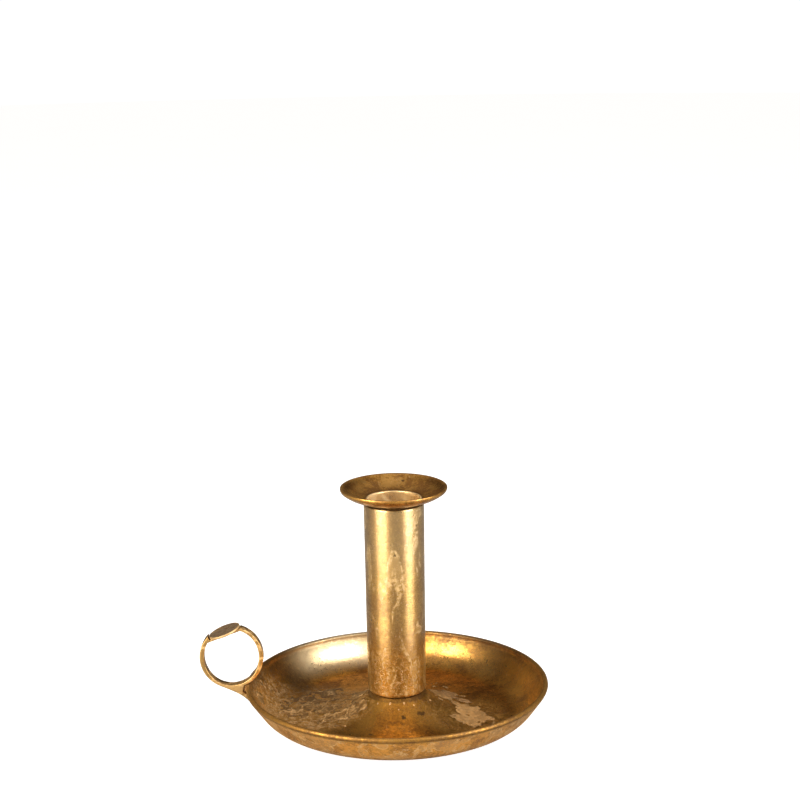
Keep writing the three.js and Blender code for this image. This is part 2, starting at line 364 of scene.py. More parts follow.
def paint_pan(pan):
    """Crust, clean metal, haze, painted highlights, and dirt with painted shade and a painted dark
    reflection, each in its own part of the pan.
    """
    east, north, up = places(pan)
    x = np.hypot(east, north)
    inside = above(x, up)
    left = spot(east, north, (-40, 4), (34, 28), 1.2, 0.7)
    right = spot(east, north, (30, -8), (24, 24), 1.1, 0.6)
    paint_values(pan, "crust", inside * np.maximum(left, 0.45 * right))
    paint_values(pan, "clean", inside * (1 - 0.8 * left))

    cone = 0.25 * ease(x, 36, 24)
    sides = 0.45 * ease(np.abs(east), 44, 60) * ease(x, 50, 58)
    over = inside * np.maximum.reduce([0.45 * left, 0.2 * right, cone, sides])
    rim = 0.6 * ease(from_bead(x, up), 2.2, 1.0)
    outside = 0.5 * (1 - inside) * ease(up, 0.3, 2.0)
    paint_values(pan, "haze", np.maximum.reduce([over, outside, rim]))

    # Painted highlights: pale patches on the back wall, left and right, where the soft lights reflect.
    back_left = spot(east, north, (-30, 54), (1.2, 1.0), 34, 12)
    back_right = spot(east, north, (33, 52), (1.3, 1.0), 28, 12)
    back = np.maximum(0.9 * back_left, 0.2 * back_right)
    paint_values(pan, "bloom", inside * ease(x, 53, 64) * back)

    # Painted dark reflection: a dark patch on the floor at the back left.
    shadow = 0.7 * inside * spot(east, north, (-47, 33), (6, 8), 2.0, 0.3)
    # Darker over the floor and cone in the pan's middle.
    darker_middle = 0.26 * inside * ease(x, 42, 28)
    paint_values(pan, "grime", np.maximum.reduce([pan_grime(x, up), shadow, darker_middle]))


def make_pan():
    pan = turned("pan_fine", pan_section(), "base", "pan_brass", 360, 0.10, 11, wear=pan_wear)
    paint_pan(pan)
    return pan


# ---- the stem and what holds it


def make_stem_tube():
    bend_x = STEM_FOOT_RADIUS - STEM_FOOT_BEND
    bend_z = STEM_FOOT + STEM_FOOT_BEND
    foot = arc(bend_x, bend_z, STEM_FOOT_BEND, -90, 0, 8)
    lip = 0.25
    outer_top = arc(STEM_TOP_RADIUS - lip, STEM_TOP - lip, lip, 0, 90, 4)
    inner_top = (STEM_TOP_RADIUS - STEM_WALL, STEM_TOP)
    inner_foot = arc(bend_x, bend_z, STEM_FOOT_BEND - STEM_WALL, 0, -90, 5)
    section = [
        *foot,
        *line(foot[-1], outer_top[0], 90),
        *outer_top,
        inner_top,
        *line(inner_top, inner_foot[0], 30),
        *inner_foot,
    ]

    def wear(x, z):
        return 0.5 * ease(z, STEM_TOP - 0.8, STEM_TOP) + 0.25 * ease(z, STEM_FOOT + 3, STEM_FOOT + 1)

    def grime(x, z):
        joint = 0.7 * ease(z, STEM_FOOT + 0.4, STEM_FOOT + 0.1)
        within = 0.8 * ease(x, 12.9, 12.5)
        return np.maximum.reduce([joint, within, 0.32 * ease(z, 50, 20)])

    return turned(
        "stem_tube_fine", section, "base", "tube_brass", 256, 0.05, 23, wear=wear, grime=grime,
        haze=lambda x, z: 0.2 * ease(z, 38, 13),
        crust=lambda x, z: 0.55 * ease(z, 46, 22),
        # Painted highlight: the stem's upper part paler.
        bloom=lambda x, z: 0.2 * ease(z, 62, 86),
    )


def make_stem_plug():
    bottom = STEM_FOOT + STEM_WALL + SEAT_GAP
    top = bottom + PLUG_THICKNESS
    radius = STEM_FOOT_RADIUS - STEM_WALL - SEAT_GAP
    hole = SCREW_SHANK + THREAD_CLEARANCE
    bend = 0.8
    chamfer = 0.2
    countersink = 0.3
    section = [
        (hole, bottom),
        (radius - bend, bottom),
        *arc(radius - bend, bottom + bend, bend, -90, 0, 5),
        (radius, top - chamfer),
        (radius - chamfer, top),
        (hole + countersink, top),
        (hole, top - countersink),
    ]
    return turned("stem_plug_fine", section, "base", "hidden_brass", 96, 0.0)


def make_washer():
    hole = SCREW_SHANK + WASHER_CLEARANCE
    edge = 0.15
    low = WASHER_TOP - WASHER_THICKNESS
    section = [
        (hole, low + edge),
        (hole + edge, low),
        *arc(WASHER_RADIUS - edge, low + edge, edge, -90, 0, 3),
        *arc(WASHER_RADIUS - edge, WASHER_TOP - edge, edge, 0, 90, 3),
        (hole, WASHER_TOP),
    ]
    return turned("washer_fine", section, "base", "hidden_brass", 96, 0.01)


def screw_section():
    edge = 0.8
    chamfer = 0.1
    tip = 0.5
    return [
        *arc(SCREW_HEAD - edge, HEAD_BOTTOM + edge, edge, -90, 0, 5),
        (SCREW_HEAD, HEAD_TOP - chamfer),
        (SCREW_HEAD - chamfer, HEAD_TOP),
        (SCREW_SHANK, HEAD_TOP),
        (SCREW_SHANK, SHANK_TOP - tip),
        (SCREW_SHANK - tip, SHANK_TOP),
        (0.0, SHANK_TOP),
        (0.0, HEAD_BOTTOM),
    ]


def slot_cutter():
    """A bar across the screw's head, as wide as the driver's slot."""
    half_width = 0.65
    depth = 1.2
    half = Vector((3 * SCREW_HEAD, half_width, depth)) * MM
    centre = Vector((AXIS_X, 0, HEAD_BOTTOM)) * MM
    ends = [(i, j, k) for k in (-1, 1) for j in (-1, 1) for i in (-1, 1)]
    corners = [centre + half * Vector(end) for end in ends]
    sides = [(0, 2, 3, 1), (4, 5, 7, 6), (0, 1, 5, 4), (2, 6, 7, 3), (0, 4, 6, 2), (1, 3, 7, 5)]
    mesh = bpy.data.meshes.new("slot_cutter")
    mesh.from_pydata(corners, [], sides)
    return linked("slot_cutter", mesh)


def make_tie_screw():
    """Head down, with the driver's slot cut across the head."""
    points, faces = around(screw_section(), 96)
    screw = mesh_object("tie_screw_fine", points, faces, "base", ["tie_screw"])
    weld(screw)
    cutter = slot_cutter()
    cut = screw.modifiers.new("slot", "BOOLEAN")
    cut.operation = "DIFFERENCE"
    cut.object = cutter
    settle(screw)
    bpy.data.objects.remove(cutter)
    sharpen(screw, 35)
    return screw


# ---- the lift-out nozzle


def make_candle_socket():
    outside = CUP_BORE + CUP_WALL
    low = CUP_FLOOR - CUP_WALL
    corner_bend = 1.5
    mouth_bend = 0.6
    floor_bend = 0.75
    corner = arc(outside - corner_bend, low + corner_bend, corner_bend, -90, 0, 8)
    mouth = arc(CUP_BORE + mouth_bend, MOUTH_HEIGHT - mouth_bend, mouth_bend, 90, 180, 7)
    inner_corner = arc(CUP_BORE - floor_bend, CUP_FLOOR + floor_bend, floor_bend, 0, -90, 5)
    section = [
        (AXIS_GAP, low),
        *line((AXIS_GAP, low), corner[0], 8),
        *corner,
        *line(corner[-1], (outside, MOUTH_HEIGHT), 20),
        (outside, MOUTH_HEIGHT),
        *mouth,
        *line(mouth[-1], inner_corner[0], 24),
        *inner_corner,
        *line(inner_corner[-1], (AXIS_GAP, CUP_FLOOR), 8),
        (AXIS_GAP, CUP_FLOOR),
    ]

    return turned(
        "candle_socket_fine", section, "nozzle", "socket_brass", 192, 0.03, 31,
        wear=lambda x, z: 0.6 * ease(z, MOUTH_HEIGHT - 0.8, MOUTH_HEIGHT),
        grime=lambda x, z: 0.8 * ease(z, CUP_FLOOR + 10, CUP_FLOOR),
        haze=lambda x, z: 0.15 * ease(z, CUP_FLOOR + 10, CUP_FLOOR + 18),
        # Painted highlight: the cup's inside paler towards the mouth.
        bloom=lambda x, z: 0.4 * ease(z, CUP_FLOOR + 10, CUP_FLOOR + 18),
    )


def dish_section():
    """A collar on the stem's top, then the flare beneath, its rounded edge and the bowl above."""
    bore = CUP_BORE + CUP_WALL + BRAZE_GAP
    collar = STEM_TOP_RADIUS - COLLAR_SETBACK
    low = STEM_TOP + SEAT_GAP
    collar_height = 0.85
    chamfer = 0.15
    edge, edge_slope = 2.1, 38
    edge_x = DISH_RADIUS - edge
    under, under_slope = 19.4, 7
    under_x = edge_x - (under - edge) * sin(radians(edge_slope))
    under_z = DISH_EDGE_HEIGHT + (under - edge) * cos(radians(edge_slope))
    lip = 0.35
    upper, slope, end_slope = 25.6, 13, 39
    upper_x = bore + chamfer - upper * sin(radians(slope))
    upper_z = MOUTH_HEIGHT + upper * cos(radians(slope))
    underside = arc(under_x, under_z, under, under_slope - 90, edge_slope - 90, 20)
    side = arc(edge_x, DISH_EDGE_HEIGHT, edge, edge_slope - 90, -6, 9)
    top = arc(DISH_RADIUS - lip, DISH_EDGE_HEIGHT, lip, 0, 90, 5)
    bowl = arc(upper_x, upper_z, upper, end_slope - 90, slope - 90, 26)
    return [
        (bore, low),
        (collar - chamfer, low),
        (collar, low + chamfer),
        (collar, low + collar_height),
        *underside,
        *side[1:],
        *top[1:],
        *bowl,
        (bore, MOUTH_HEIGHT - 0.2),
    ]


def make_drip_dish():
    def grime(x, z):
        # Painted shade on the collar under the flare; dirt in the seam at the mouth.
        collar_shade = ease(x, 15.2, 13.9) * ease(z, 104.2, 103.2)
        mouth_seam = ease(x, 14.6, 13.0) * ease(z, 103.9, 104.2)
        return np.maximum(collar_shade, 0.7 * mouth_seam)

    def haze(x, z):
        return 0.3 * ease(z, DISH_EDGE_HEIGHT - 0.2, DISH_EDGE_HEIGHT) + 0.3 * ease(x, 22.0, 19.0)

    return turned(
        "drip_dish_fine", dish_section(), "nozzle", "dish_brass", 288, 0.05, 41, grime=grime, haze=haze,
        wear=lambda x, z: 0.12 * ease(x, DISH_RADIUS - 1.7, DISH_RADIUS - 0.5),
        clean=lambda x, z: np.ones(len(x)),
    )


# ---- the handle


def on_seat(along, out):
    """A place in the thumb disc's tilted seat: along it, and out from the ring's centre."""
    tilt = radians(THUMB_TILT)
    return (
        RING_CENTRE[0] + along * cos(tilt) - out * sin(tilt),
        RING_CENTRE[1] + along * sin(tilt) + out * cos(tilt),
    )


def ring_arc(size, start, end, steps):
    """Points round the ring, which is a little higher than it is wide."""
    unit = arc(0, 0, 1, start, end, steps)
    return [(RING_CENTRE[0] + x * size[0], RING_CENTRE[1] + z * size[1]) for x, z in unit]


def strap_outline():
    """The strap seen from its side: up the pan's wall, round the ring and down to the crotch."""
    bend = (-FOOT_OUTER, WALL_BEND)
    inner = WALL_BEND + TAIL_GAP
    outer = inner + TAIL_THICKNESS
    wall_angle = 270 - WALL_SLOPE
    tail_end = 228
    up = on_circle(0, 0, 1, 180 - WALL_SLOPE)
    ring_start, ring_end = -115, -68
    seat_start, seat_end = -224, 71.5
    crotch = (-71.5, 13.0)
    pull = 8
    straight = 2.6
    leaves = on_circle(*bend, outer, wall_angle)
    meets = ring_arc(RING_OUTSIDE, ring_start, ring_start, 1)[0]
    lead = on_circle(0, 0, pull, ring_start + 90)
    sweep = bezier(
        leaves,
        (leaves[0] + pull * up[0], leaves[1] + pull * up[1]),
        (meets[0] + lead[0], meets[1] + lead[1]),
        meets,
        24,
    )
    seat_floor = THUMB_LEVEL - THUMB_THICKNESS - THUMB_GAP
    wall = on_circle(*bend, inner, wall_angle)
    return [
        *arc(*bend, outer, tail_end, wall_angle, 10),
        *sweep[1:],
        *ring_arc(RING_OUTSIDE, ring_start, seat_start, 44)[1:],
        on_seat(THUMB_SHIFT - THUMB_RADIUS - THUMB_GAP, seat_floor),
        *ring_arc(RING_OUTSIDE, seat_end, ring_end, 52),
        crotch,
        (wall[0] + straight * up[0], wall[1] + straight * up[1]),
        *arc(*bend, inner, wall_angle, tail_end, 10),
    ]


def finger_hole():
    """The inside of the ring, a little uneven."""
    smooth = ring_arc(RING_INSIDE, -212, 70, 90)
    uneven = wander(np.array([(x, 0, z) for x, z in smooth]), 6.5, 51)
    depth = 0.14 / 13
    return [
        (x + depth * n * (x - RING_CENTRE[0]), z + depth * n * (z - RING_CENTRE[1]))
        for (x, z), n in zip(smooth, uneven)
    ]


def strap_mesh(loops, edge):
    """Closed loops in the handle's plane, filled, pulled to the strap's width and rounded."""
    curve = bpy.data.curves.new("strap", "CURVE")
    curve.dimensions = "2D"
    curve.fill_mode = "BOTH"
    curve.extrude = (STRAP_WIDTH / 2 - edge) * MM
    curve.bevel_depth = edge * MM
    curve.bevel_resolution = 3
    curve.offset = -edge * MM
    for loop in loops:
        spline = curve.splines.new("POLY")
        spline.points.add(len(loop) - 1)
        for target, (x, z) in zip(spline.points, loop):
            target.co = ((x + AXIS_X) * MM, z * MM, 0, 1)
        spline.use_cyclic_u = True
    source = linked("strap_curve", curve)
    mesh = as_seen(source)
    bpy.data.objects.remove(source)
    mesh.transform(Matrix.Rotation(pi / 2, 4, "X"))
    return mesh


def make_handle_strap():
    strap = linked("handle_strap_fine", strap_mesh([strap_outline(), finger_hole()], 0.32))
    weld(strap)
    sharpen(strap, 40)
    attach(strap, "base")
    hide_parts("handle_strap")
    return strap


def braze(name, outline, half_width):
    """A lump or run of braze: an outline in the handle's plane, drawn across it and softened."""
    middle = np.mean(outline, axis=0)
    sections = [(-1.0, 0.7), (-0.9, 0.92), (-0.6, 1.0), (0.0, 0.96), (0.6, 1.0), (0.9, 0.92), (1.0, 0.7)]
    count = len(outline)
    points = []
    for across, size in sections:
        for x, z in middle + size * (np.asarray(outline) - middle):
            points.append((x, across * half_width, z))
    faces = [tuple(range(count)), tuple(len(points) - 1 - i for i in range(count))]
    for near in range(0, len(points) - count, count):
        far = near + count
        for i in range(count):
            j = (i + 1) % count
            faces.append((near + j, near + i, far + i, far + j))
    lump = mesh_object(name, points, faces, "base", ())
    rounded = lump.modifiers.new("rounded", "SUBSURF")
    rounded.levels = 2
    settle(lump)
    lump.data.shade_smooth()
    return lump


def make_crotch_fillet():
    """Fills the Y between the ring, the tail and the pan's edge."""
    outline = [
        (-72.2, 13.0), (-71.0, 15.3), (-69.7, 16.8), (-69.0, 16.2), (-70.0, 14.9), (-69.4, 13.2),
        (-70.6, 12.3),
    ]
    return braze("crotch_fillet", outline, 1.7)


def make_tail_braze():
    """The run of braze that holds the tail to the pan's lower bend."""
    start, end = 229, 270 - WALL_SLOPE
    bite = 0.1
    inner = arc(-FOOT_OUTER, WALL_BEND, WALL_BEND - bite, start, end, 12)
    outer = arc(-FOOT_OUTER, WALL_BEND, WALL_BEND + TAIL_GAP + bite, end, start, 12)
    return braze("tail_braze", inner + outer, STRAP_WIDTH / 2 - 0.05)


def make_thumb_rest():
    """A disc with a soft edge and a slightly hollow, hand-filed face."""
    edge = 0.3
    rings = 22
    flat = THUMB_RADIUS - edge
    face = [(AXIS_GAP + (flat - AXIS_GAP) * i / rings, 0.0) for i in range(rings, -1, -1)]
    section = [
        (AXIS_GAP, -THUMB_THICKNESS),
        (flat, -THUMB_THICKNESS),
        *arc(flat, edge - THUMB_THICKNESS, edge, -90, 0, 4)[1:],
        *arc(flat, -edge, edge, 0, 90, 4)[:-1],
        *face,
    ]
    points, faces = around(section, 96)
    x = np.hypot(points[:, 0], points[:, 1])
    top = points[:, 2] > -0.2
    points[:, 2] -= np.where(top, 0.06 * np.abs(wander(points, 2.6, 61)), 0)
    points[:, :2] *= (1 - 0.07 * np.abs(wander(points, 4.0, 62)) / np.maximum(x, 1))[:, None]
    tilt = Matrix.Rotation(radians(-THUMB_TILT), 3, "Y")
    centre = on_seat(THUMB_SHIFT, THUMB_LEVEL)
    placed = points @ np.array(tilt).T + [centre[0], 0, centre[1]]
    disc = mesh_object("thumb_rest_fine", placed, faces, "base", ["thumb_rest"])
    paint_values(disc, "wear", ease(x, THUMB_RADIUS - 0.5, THUMB_RADIUS - 0.1))
    return disc


# ---- wax left in the pan


def crackled(flat, seed):
    """1 along the wrinkles of old wax and 0 between them."""
    wide = 1 - np.clip(np.abs(wander(flat, 5.2, seed + 20, 3)) * 5.0, 0, 1)
    fine = 1 - np.clip(np.abs(wander(flat, 2.4, seed + 30, 2)) * 4.0, 0, 1)
    return np.clip(0.75 * wide + 0.55 * fine, 0, 1)


def grid_faces(count, keep):
    """The faces of a square grid of points that have all four corners among those kept."""
    index = np.arange(count * count).reshape(count, count)
    corners = [index[:-1, :-1], index[1:, :-1], index[1:, 1:], index[:-1, 1:]]
    quads = np.stack(corners, axis=-1).reshape(-1, 4)
    return quads[keep[quads].all(axis=1)]


def wax_sheet(name, centre, half, turn, thickness, seed, crackle, cut):
    """A thin ragged spill of wax on the pan; cut makes it smaller. Its upper face dips into the
    brass outside the spill, so that the two meet cleanly; what lies well below is left out."""
    pitch = 0.3
    sunk = 0.35
    reach = max(half) * 1.25
    steps = int(2 * reach / pitch)
    grid = (np.arange(steps + 1) / steps * 2 - 1) * reach
    along, across = (axis.ravel() for axis in np.meshgrid(grid, grid, indexing="ij"))
    east, north = on_circle(0, 0, 1, turn)
    x = centre[0] + along * east - across * north
    y = centre[1] + along * north + across * east
    flat = np.stack([x, y, np.zeros(len(x))], axis=1)

    oval = 1 - (along / half[0]) ** 2 - (across / half[1]) ** 2
    level = oval + wander(flat, 8.0, seed, 4) + 0.35 * wander(flat, 2.2, seed + 9, 2) - cut
    film = ease(level, -0.04, 0.10)
    ridges = crackled(flat, seed)
    height = thickness * (film * (0.55 + 0.45 * ease(level, 0.0, 0.5)) * (1 + sunk) - sunk)
    height += film * crackle * ridges

    radius = np.hypot(x, y)
    allowed = (radius > STEM_FOOT_RADIUS + 0.2) & (radius < 66.5)
    faces = grid_faces(steps + 1, (height > -0.33 * thickness) & allowed)
    used = np.unique(faces)
    points = np.stack([x, y, pan_upper(radius) + height], axis=1)[used]
    renumbered = np.searchsorted(used, faces).tolist()
    sheet = mesh_object(name, points, renumbered, "base", ())
    paint_values(sheet, "ridge", ridges[used])
    paint_values(sheet, "brink", 1 - ease(level[used], 0.0, 0.16))
    return sheet


def wax_drop(number, centre, size, start):
    """The points and faces of one set drop, whose first point is numbered start."""
    rings, sectors = 8, 16
    points, faces = [], []
    for i in range(rings + 1):
        lift = pi / 2 * (1 - i / rings)
        for j in range(sectors):
            turn = 2 * pi * j / sectors
            wobble = 1 + 0.12 * sin(2 * turn + number)
            x = centre[0] + size * wobble * cos(lift) * cos(turn)
            y = centre[1] + size * wobble * cos(lift) * sin(turn)
            z = float(pan_upper(hypot(x, y))) + 0.55 * size * sin(lift) - 0.05
            points.append((x, y, z))
    for near in range(start, start + rings * sectors, sectors):
        far = near + sectors
        for j in range(sectors):
            k = (j + 1) % sectors
            faces.append((near + j, far + j, far + k, near + k))
    return points, faces


def make_wax_drops():
    """Beads of wax that ran down and set at the stem's foot and on the cone."""
    bearings_distances_sizes = [
        (-104, 13.9, 0.55), (-77, 13.8, 0.5), (-88, 16.4, 0.3), (-60, 15.2, 0.35), (-128, 14.6, 0.4),
        (-150, 27.0, 0.6), (-141, 31.0, 0.5), (-20, 16.2, 0.5), (12, 18.5, 0.5), (-33, 44.0, 0.6),
    ]
    points, faces = [], []
    for number, (bearing, distance, size) in enumerate(bearings_distances_sizes):
        more_points, more_faces = wax_drop(number, on_circle(0, 0, distance, bearing), size, len(points))
        points += more_points
        faces += more_faces
    return mesh_object("wax_drops", points, faces, "base", ())


# ---- paint


class Tree:
    """The nodes of a material or a world."""

    def __init__(self, owner):
        owner.use_nodes = True
        self.nodes = owner.node_tree.nodes
        self.links = owner.node_tree.links

    def plug(self, sockets, values):
        """Gives sockets, by name or number, a value each or another node's output."""
        for key, value in values.items():
            if isinstance(value, (int, float, tuple)):
                sockets[key].default_value = value
            else:
                self.links.new(value, sockets[key])

    def node(self, kind, inputs, **settings):
        """Adds a node with these inputs and settings, and returns its outputs."""
        node = self.nodes.new("ShaderNode" + kind)
        for name, setting in settings.items():
            setattr(node, name, setting)
        self.plug(node.inputs, inputs)
        return node.outputs


class Paint(Tree):
    """A material under construction. Most methods add a node and return its output."""

    def __init__(self, name):
        self.material = bpy.data.materials.new(name)
        super().__init__(self.material)
        self.shader = next(n for n in self.nodes if n.type == "BSDF_PRINCIPLED")
        place = self.node("TexCoord", {})["Object"]
        scaled = self.node("VectorMath", {0: place, "Scale": 1 / MM}, operation="SCALE")[0]
        axis = (AXIS_X, 0, 0)
        self.place = self.node("VectorMath", {0: scaled, 1: axis}, operation="SUBTRACT")[0]

    def maths(self, operation, *values):
        return self.node("Math", dict(enumerate(values)), operation=operation)[0]

    def minus(self, a, b):
        return self.maths("SUBTRACT", a, b)

    def times(self, a, b, plus=0.0):
        """a times b, and something added to it."""
        return self.maths("MULTIPLY_ADD", a, b, plus)

    def most(self, first, *others):
        """The largest of several values."""
        largest = first
        for other in others:
            largest = self.maths("MAXIMUM", largest, other)
        return largest

    def step(self, value, low, high, out_low=0.0, out_high=1.0):
        """A smooth change from one value to another as the input goes from low to high."""
        ends = {"Value": value, "From Min": low, "From Max": high, "To Min": out_low, "To Max": out_high}
        return self.node("MapRange", ends, interpolation_type="SMOOTHSTEP")["Result"]

    def noise(self, size, detail, rough=0.5, twist=0.0, offset=0.0, place=None):
        """Noise spread over about 0 to 1, with blotches of this size in mm."""
        inputs = {
            "Vector": place or self.place, "W": offset, "Scale": 1 / size,
            "Detail": detail, "Roughness": rough, "Distortion": twist,
        }
        noise = self.node("TexNoise", inputs, noise_dimensions="4D")
        return self.times(noise["Fac"], 1.9, -0.45)

    def cells(self, size):
        """The distance to the nearest of many scattered points."""
        return self.node("TexVoronoi", {"Vector": self.place, "Scale": 1 / size})["Distance"]

    def stretched(self, turn, stretch):
        """The place, turned by three angles in degrees and then scaled along each axis."""
        angles = tuple(radians(a) for a in turn)
        inputs = {"Vector": self.place, "Rotation": angles, "Scale": stretch}
        return self.node("Mapping", inputs, vector_type="TEXTURE")["Vector"]

    def axis(self, name):
        return self.node("SeparateXYZ", {0: self.place})[name]

    def value(self, name):
        """A number that the mesh keeps at its vertices."""
        return self.node("Attribute", {}, attribute_name=name)["Fac"]

    def mix(self, factor, a, b):
        return self.node("Mix", {0: factor, 6: a, 7: b}, data_type="RGBA")[2]

    def cover(self, colour, mask, strength, over):
        """A colour with another laid over it where the mask is."""
        return self.mix(self.times(mask, strength), colour, over)

    def line_at(self, value, level, width):
        """1 on the line where a noise passes this level, and 0 away from it."""
        away = self.maths("ABSOLUTE", self.minus(value, level))
        return self.step(away, width * 0.25, width, 1.0, 0.0)

    def blot(self, centre, radius):
        """1 within a ragged spot about a place in mm, and 0 beyond it."""
        away = self.node("VectorMath", {0: self.place, 1: centre}, operation="DISTANCE")["Value"]
        ragged = self.times(self.noise(0.8 * radius, 4.0, 0.55), 1.4 * radius, away)
        return self.step(ragged, radius, 1.6 * radius, 1.0, 0.0)

    def finish(self, colour, rough, metal, relief):
        """Gives the shader its colour, roughness and metal, and its relief in mm."""
        bump = self.node("Bump", {"Strength": 1.0, "Distance": MM, "Height": relief})["Normal"]
        self.plug(self.shader.inputs, {
            "Base Color": colour, "Roughness": rough, "Metallic": metal,
            "Normal": bump, "Coat Normal": bump,
        })
        return self.material


# ---- colours

GOLD = (0.77, 0.44, 0.10, 1)
WORN_GOLD = (0.88, 0.64, 0.32, 1)
OLD_BRASS = (0.58, 0.31, 0.055, 1)
BROWN = (0.34, 0.155, 0.02, 1)
DARK = (0.05, 0.026, 0.01, 1)
FILM = (0.54, 0.36, 0.19, 1)
# Pale residue, partly a painted highlight on its ridges.
PALE_CRUST_AND_HIGHLIGHT = (0.70, 0.48, 0.26, 1)
# Pale wax ridges, partly a painted highlight.
WAX_RIDGE_AND_HIGHLIGHT = (0.68, 0.46, 0.23, 1)
# The colour of the painted highlights.
PAINTED_HIGHLIGHT_COLOUR = (0.90, 0.74, 0.48, 1)

# ---- aged brass


@dataclass
class Look:
    """How one piece of brass has aged."""

    tarnish: float = 0.5  # how much of it has browned
    contrast: float = 0.10  # how softly bare metal passes into tarnish
    patch: float = 9.0  # the size of the tarnish's patches
    bare: tuple = GOLD
    old: tuple = OLD_BRASS
    brown: tuple = BROWN
    film: float = 0.3  # how much is under a dried film
    film_size: float = 11.0
    film_way: tuple = (1, 1, 1)  # the film's stretch along each axis
    film_colour: tuple = FILM
    film_dull: float = 0.35  # how far the film hides the metal
    stains: float = 0.3
    pits: float = 1.0
    blots: tuple = ()  # single dark spots, each a place and a radius
    lathe: float = 0.0  # how much the turning lines show
    rough: float = 0.34
    lacquer: float = 0.8
    gloss: float = 1.5  # the lacquer's index of refraction
    side: float = 0.0  # how far out the rubbed sides begin, where there are any


class AgedBrass(Paint):
    """Brass with broad tarnish, a fine mottle, dried films with pale outlines, crusts, scratches,
    pits and stains."""

    def __init__(self, name, seed, look):
        super().__init__(name)
        self.seed = seed
        self.look = look
        self.wear = self.rubbed_sides() if look.side else self.value("wear")
        self.broad = self.noise(look.patch, 5.0, 0.6, 0.5, seed)
        self.mottle = self.noise(1.5, 6.0, 0.65, 0.3, seed + 1)
        self.grain = self.noise(0.35, 3.0, 0.6, 0.0, seed + 2)
        self.patchy = self.step(self.mottle, 0.35, 0.6)
        self.soiled = self.minus(1.0, self.value("clean"))
        self.marks = self.scratches()

    def rubbed_sides(self):
        """The strap's two flat sides, where it is filed and handled bright."""
        away = self.maths("ABSOLUTE", self.axis("Y"))
        return self.step(away, self.look.side, self.look.side + 0.45, 0.0, 0.5)

    def scratches(self):
        """Short fine marks in several directions."""
        total = 0.0
        for number, turn in enumerate(((20, 35, 10), (70, -25, 80), (-35, 60, 140))):
            seed = self.seed + 3
            place = self.stretched(turn, (6.0, 0.35, 0.6))
            lines = self.step(self.noise(1.0, 2.0, 0.5, 0.0, seed + 7.3 * number, place), 0.72, 0.86)
            sparse = self.step(self.noise(6.0, 1.0, 0.5, 0.0, seed + 3.1 * number), 0.48, 0.66)
            total = self.times(lines, sparse, total)
        return self.maths("MINIMUM", total, 1.0)

    def metal_colour(self):
        """From bare brass through old brass to brown."""
        look = self.look
        place = self.stretched((0, 0, 0), (14, 14, 0.3))
        hair = self.noise(1.0, 3.0, 0.6, 0.0, self.seed + 15, place)
        self.hair = self.times(self.minus(hair, 0.5), look.lathe)
        shade = self.times(self.minus(self.mottle, 0.5), 0.8, self.broad)
        shade = self.times(self.minus(self.grain, 0.5), 0.5, shade)
        shade = self.times(self.hair, 0.35, shade)
        shade = self.times(self.wear, -0.35, shade)
        middle = 0.5 + (0.5 - look.tarnish) * 0.5
        self.tarnished = self.step(shade, middle - look.contrast, middle + look.contrast)
        colour = self.mix(self.tarnished, look.bare, look.old)
        deep = self.step(shade, middle + look.contrast * 0.9, middle + look.contrast * 2.6)
        return self.cover(colour, deep, 0.85, look.brown)

    def add_film(self, colour):
        """Dried films, each with a pale outline."""
        look = self.look
        place = self.stretched((0, 0, 0), look.film_way)
        level = self.noise(look.film_size, 4.0, 0.5, 1.2, self.seed + 5, place)
        brink = 0.5 + (0.5 - look.film) * 0.6
        film = self.times(self.step(level, brink, brink + 0.02), self.soiled)
        film = self.most(film, self.value("haze"))
        self.film = self.times(film, self.step(self.mottle, 0.25, 0.55, 0.6, 1.0))
        outline = self.times(self.line_at(level, brink + 0.03, 0.08), self.patchy)
        self.outline = self.times(outline, self.soiled)
        colour = self.cover(colour, self.film, 0.5, look.film_colour)
        return self.cover(colour, self.outline, 0.55, WORN_GOLD)

    def add_crust(self, colour):
        """Pale wrinkled lines of dried residue, pale partly as a painted highlight on their ridges, and
        the painted highlights.
        """
        wide = self.line_at(self.noise(4.2, 3.0, 0.55, 2.2, self.seed + 11), 0.5, 0.07)
        fine = self.line_at(self.noise(2.4, 3.0, 0.6, 1.6, self.seed + 12), 0.55, 0.09)
        crusted = self.times(self.value("crust"), self.patchy)
        self.wrinkle = self.times(self.most(wide, fine), crusted)
        # Partly painted highlight: the residue's ridges laid over in a pale colour.
        colour = self.cover(colour, self.wrinkle, 0.75, PALE_CRUST_AND_HIGHLIGHT)
        # Painted highlight: a pale colour mixed in where the mesh asks for it.
        return self.mix(self.value("bloom"), colour, PAINTED_HIGHLIGHT_COLOUR)

    def add_wear(self, colour):
        colour = self.cover(colour, self.marks, 0.45, WORN_GOLD)
        return self.cover(colour, self.wear, 0.6, WORN_GOLD)

    def add_dirt(self, colour):
        """Pits, stains, dirt in the seams with the painted shade kept with it, and single blots."""
        look = self.look
        pitted = self.step(self.noise(7.0, 2.0, 0.5, 0.0, self.seed + 6), 0.72 - 0.12 * look.stains, 0.84)
        self.pits = self.times(self.step(self.cells(2.3), 0.10, 0.16, look.pits, 0.0), pitted)
        stain = self.step(self.noise(4.5, 5.0, 0.7, 0.4, self.seed + 8), 0.84 - 0.1 * look.stains, 0.98)
        stain = self.times(stain, min(0.7, 1.2 * look.stains))
        # Dirt in seams, and painted shade in corners and under overhangs, as the mesh gives it.
        seam_and_shade = self.times(self.value("grime"), self.step(self.mottle, 0.15, 0.45, 0.75, 1.0))
        blots = [self.blot(centre, radius) for centre, radius in look.blots]
        self.dirt_and_shade = self.most(self.pits, stain, seam_and_shade, *blots)
        return self.cover(colour, self.dirt_and_shade, 0.85, DARK)

    def weighted(self, total, weights):
        """A number and several layers, each times its weight, added up."""
        for layer, weight in weights:
            total = self.times(layer, weight, total)
        return total

